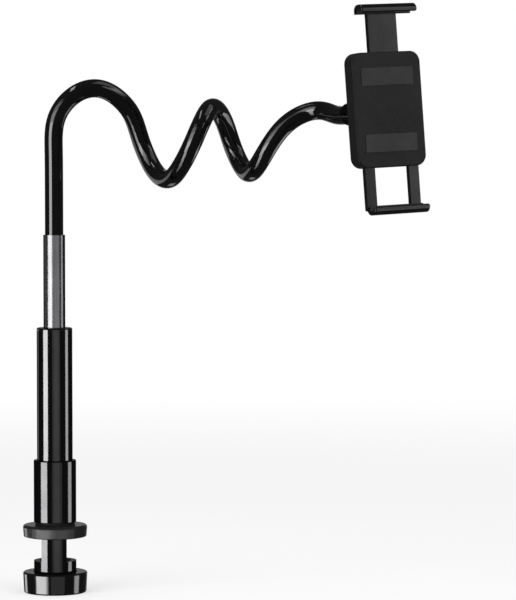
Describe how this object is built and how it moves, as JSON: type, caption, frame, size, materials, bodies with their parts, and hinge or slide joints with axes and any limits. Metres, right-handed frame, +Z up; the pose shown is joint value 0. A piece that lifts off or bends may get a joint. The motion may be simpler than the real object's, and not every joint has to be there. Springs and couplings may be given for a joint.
{
  "type": "gooseneck tablet clamp holder",
  "caption": "Gooseneck tablet holder: a screw clamp for a table edge, a telescoping swivel mast, a bendable neck wound in coils and a ball head with a spring-jawed tablet holder.",
  "frame": {"origin": "on the mast's axis, in the lower face of the upper jaw's pad, which lies on the table top", "axes": "+Z up along the mast; +X along the table's edge, towards the holder; -Y from the table's edge out to the viewer, so the clamp's throat opens to +Y"},
  "size_m": [0.3775, 0.1947, 0.551],
  "materials": {
    "black_enamel": "gloss black enamel on steel",
    "steel_tube": "dark satin plated steel",
    "zinc_steel": "zinc-plated steel",
    "black_gloss_plastic": "moulded gloss black",
    "neck_sleeve_black": "smooth gloss black sleeve",
    "core_alloy": "annealed alloy core",
    "black_satin_plastic": "fine-textured moulded black",
    "nylon": "natural nylon",
    "black_rubber": "soft black rubber",
    "grey_rubber": "soft dark grey silicone",
    "spring_steel": "drawn spring wire"
  },
  "bodies": {
    "base": {"clamp_body": "black_enamel", "upper_flange": "black_enamel", "upper_flange_pad": "black_rubber", "guide_screw": "zinc_steel", "end_ring": "zinc_steel", "thrust_washer": "nylon", "swivel_washer": "black_satin_plastic", "swivel_bolt": "zinc_steel"},
    "knob": {"knob": "black_gloss_plastic", "knob_hub": "zinc_steel", "knob_screws": "zinc_steel"},
    "plunger": {"plunger": "black_enamel", "plunger_pad": "black_rubber", "clamp_screw": "zinc_steel"},
    "mast": {"lower_sleeve": "black_enamel", "mast_tube": "black_enamel", "mast_top_cap": "black_gloss_plastic", "mast_bush": "nylon", "swivel_disc": "zinc_steel"},
    "neck_span_1": {"inner_tube": "steel_tube", "inner_tube_bush": "nylon", "neck_anchor_plug": "zinc_steel", "neck_sleeve_1": "neck_sleeve_black", "neck_core_1": "core_alloy", "neck_bend_1": "neck_sleeve_black", "neck_bend_core_1": "core_alloy"},
    "neck_span_2": {"neck_sleeve_2": "neck_sleeve_black", "neck_core_2": "core_alloy", "neck_bend_2": "neck_sleeve_black", "neck_bend_core_2": "core_alloy"},
    "neck_span_3": {"neck_sleeve_3": "neck_sleeve_black", "neck_core_3": "core_alloy", "neck_bend_3": "neck_sleeve_black", "neck_bend_core_3": "core_alloy"},
    "neck_span_4": {"neck_sleeve_4": "neck_sleeve_black", "neck_core_4": "core_alloy", "neck_bend_4": "neck_sleeve_black", "neck_bend_core_4": "core_alloy"},
    "neck_span_5": {"neck_sleeve_5": "neck_sleeve_black", "neck_core_5": "core_alloy", "neck_bend_5": "neck_sleeve_black", "neck_bend_core_5": "core_alloy"},
    "neck_span_6": {"neck_sleeve_6": "neck_sleeve_black", "neck_core_6": "core_alloy", "neck_end_ferrule": "black_enamel"},
    "ball": {"ball_stud": "black_enamel"},
    "ball_lock": {"ball_lock_ring": "black_satin_plastic", "ball_seat": "nylon"},
    "holder": {"ball_socket": "black_satin_plastic", "socket_screws": "zinc_steel", "holder_front_cover": "black_satin_plastic", "holder_back_cover": "black_satin_plastic", "holder_screws": "zinc_steel", "holder_pads": "grey_rubber", "upper_arm_spring": "spring_steel", "lower_arm_springs": "spring_steel"},
    "upper_jaw": {"upper_arm": "black_gloss_plastic", "upper_jaw_pad": "grey_rubber"},
    "lower_jaw": {"lower_arm": "black_gloss_plastic", "lower_jaw_pad": "grey_rubber"}
  },
  "joints": [
    {"name": "knob_turn", "type": "hinge", "parent": "base", "child": "knob", "pos_m": [0, 0, -0.04], "axis": [0, 0, 1], "range_deg": [0, 2880]},
    {"name": "plunger_lift", "type": "slide", "parent": "base", "child": "plunger", "axis": [0, 0, 1], "range_m": [0, 0.01401]},
    {"name": "mast_swivel", "type": "hinge", "parent": "base", "child": "mast", "pos_m": [0, 0, 0.04], "axis": [0, 0, 1], "continuous": true},
    {"name": "mast_height", "type": "slide", "parent": "mast", "child": "neck_span_1", "axis": [0, 0, 1], "range_m": [-0.058, 0.024]},
    {"name": "neck_flex_1", "type": "hinge", "parent": "neck_span_1", "child": "neck_span_2", "pos_m": [0, 0, 0.36], "axis": [0, 1, 0], "range_deg": [-25, 25], "deforming": ["neck_bend_1", "neck_bend_core_1"]},
    {"name": "neck_flex_2", "type": "hinge", "parent": "neck_span_2", "child": "neck_span_3", "pos_m": [0.08391, 0.03505, 0.3642], "axis": [0.9035, 0.0004, 0.4286], "range_deg": [-25, 25], "deforming": ["neck_bend_2", "neck_bend_core_2"]},
    {"name": "neck_flex_3", "type": "hinge", "parent": "neck_span_3", "child": "neck_span_4", "pos_m": [0.12813, -0.02706, 0.36526], "axis": [0.0889, 0.9804, 0.1758], "range_deg": [-25, 25], "deforming": ["neck_bend_3", "neck_bend_core_3"]},
    {"name": "neck_flex_4", "type": "hinge", "parent": "neck_span_4", "child": "neck_span_5", "pos_m": [0.16897, 0.03602, 0.36408], "axis": [0.9156, 0.0003, 0.4022], "range_deg": [-25, 25], "deforming": ["neck_bend_4", "neck_bend_core_4"]},
    {"name": "neck_flex_5", "type": "hinge", "parent": "neck_span_5", "child": "neck_span_6", "pos_m": [0.21129, -0.01849, 0.3815], "axis": [-0.1136, 0.982, -0.1511], "range_deg": [-25, 25], "deforming": ["neck_bend_5", "neck_bend_core_5"]},
    {"name": "ball_swivel", "type": "hinge", "parent": "neck_span_6", "child": "ball", "pos_m": [0.29641, -0.09749, 0.4007], "axis": [0.4853, -0.872, 0.0637], "continuous": true},
    {"name": "ball_tilt", "type": "hinge", "parent": "ball", "child": "ball_lock", "pos_m": [0.29641, -0.09749, 0.4007], "axis": [0.8716, 0.4883, 0.0435], "range_deg": [-28, 28]},
    {"name": "holder_spin", "type": "hinge", "parent": "ball_lock", "child": "holder", "pos_m": [0.29641, -0.09749, 0.4007], "axis": [0.4853, -0.872, 0.0637], "continuous": true},
    {"name": "upper_arm_slide", "type": "slide", "parent": "holder", "child": "upper_jaw", "axis": [-0.069, 0.0344, 0.997], "range_m": [-0.034, 0.0205], "deforming": ["upper_arm_spring"]},
    {"name": "lower_arm_slide", "type": "slide", "parent": "holder", "child": "lower_jaw", "axis": [0.069, -0.0344, -0.997], "range_m": [-0.034, 0.0205], "deforming": ["lower_arm_springs"]}
  ],
  "couplings": [
    {"joint": "plunger_lift", "follows": "knob_turn", "m_per_rad": 0.00027852}
  ]
}
